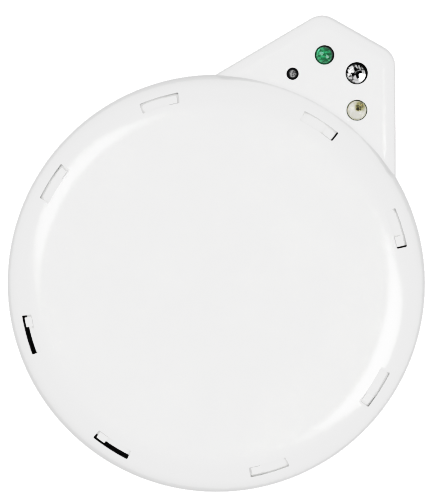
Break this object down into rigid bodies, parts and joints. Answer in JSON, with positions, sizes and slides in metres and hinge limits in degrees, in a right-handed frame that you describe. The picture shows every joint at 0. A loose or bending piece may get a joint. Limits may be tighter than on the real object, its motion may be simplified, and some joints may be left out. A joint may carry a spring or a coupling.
{
  "type": "ceiling light sensor",
  "caption": "Flat round ceiling light sensor with an angular side lobe that holds a setup button, a status lamp, a screw and a clear light cell.",
  "frame": {"origin": "centre of the cable hole on the mounting plate's ceiling face", "axes": "+Z out of the front face, away from the ceiling; +Y along the side lobe; +X to the lobe's right seen from the front"},
  "size_m": [0.114, 0.1356, 0.027],
  "materials": {
    "housing_white": "satin moulded",
    "plate_white": "satin moulded",
    "inner_grey": "matt moulded",
    "board_green": "solder mask",
    "button_black": "satin",
    "switch_black": "matt",
    "spring_steel": "bright",
    "led_green": "tinted epoxy",
    "lead_steel": "tinned",
    "lens_clear": "clear epoxy",
    "die_dark": "polished",
    "frame_ivory": "satin",
    "screw_bright": "bright plated",
    "screw_steel": "zinc plated",
    "ribbon_white": "film",
    "socket_ivory": "moulded",
    "terminal_green": "moulded",
    "chip_black": "moulded",
    "ferrite_grey": "sintered",
    "can_aluminium": "drawn"
  },
  "bodies": {
    "ceiling_plate": {"mounting_plate": "plate_white"},
    "sensor_head": {"front_housing": "housing_white", "inner_cover": "inner_grey", "lobe_cover": "housing_white", "main_board": "board_green", "head_board": "board_green", "button_switch": "switch_black", "button_dome": "spring_steel", "status_led": "led_green", "status_led_leads": "lead_steel", "light_cell_lens": "lens_clear", "light_cell_die": "die_dark", "light_cell_frame": "frame_ivory", "light_cell_leads": "lead_steel", "lobe_screw": "screw_bright", "cover_screws": "screw_steel", "link_ribbon": "ribbon_white", "head_ribbon_socket": "socket_ivory", "main_ribbon_socket": "socket_ivory", "terminal_block": "terminal_green", "terminal_screws": "screw_steel", "microcontroller": "chip_black", "amplifier_chip": "chip_black", "voltage_regulator": "chip_black", "power_inductor": "ferrite_grey", "clock_crystal": "lead_steel", "storage_capacitors": "can_aluminium", "chip_resistors": "chip_black"},
    "setup_button": {"config_button": "button_black"}
  },
  "joints": [
    {"name": "head_twist", "type": "hinge", "parent": "ceiling_plate", "child": "sensor_head", "pos_m": [0, 0, 0], "axis": [0, 0, 1], "range_deg": [-8, 0]},
    {"name": "button_press", "type": "slide", "parent": "sensor_head", "child": "setup_button", "axis": [0, 0, -1], "range_m": [0, 0.0003], "stiffness_N_per_m": 1000, "springref_m": -0.0005}
  ]
}
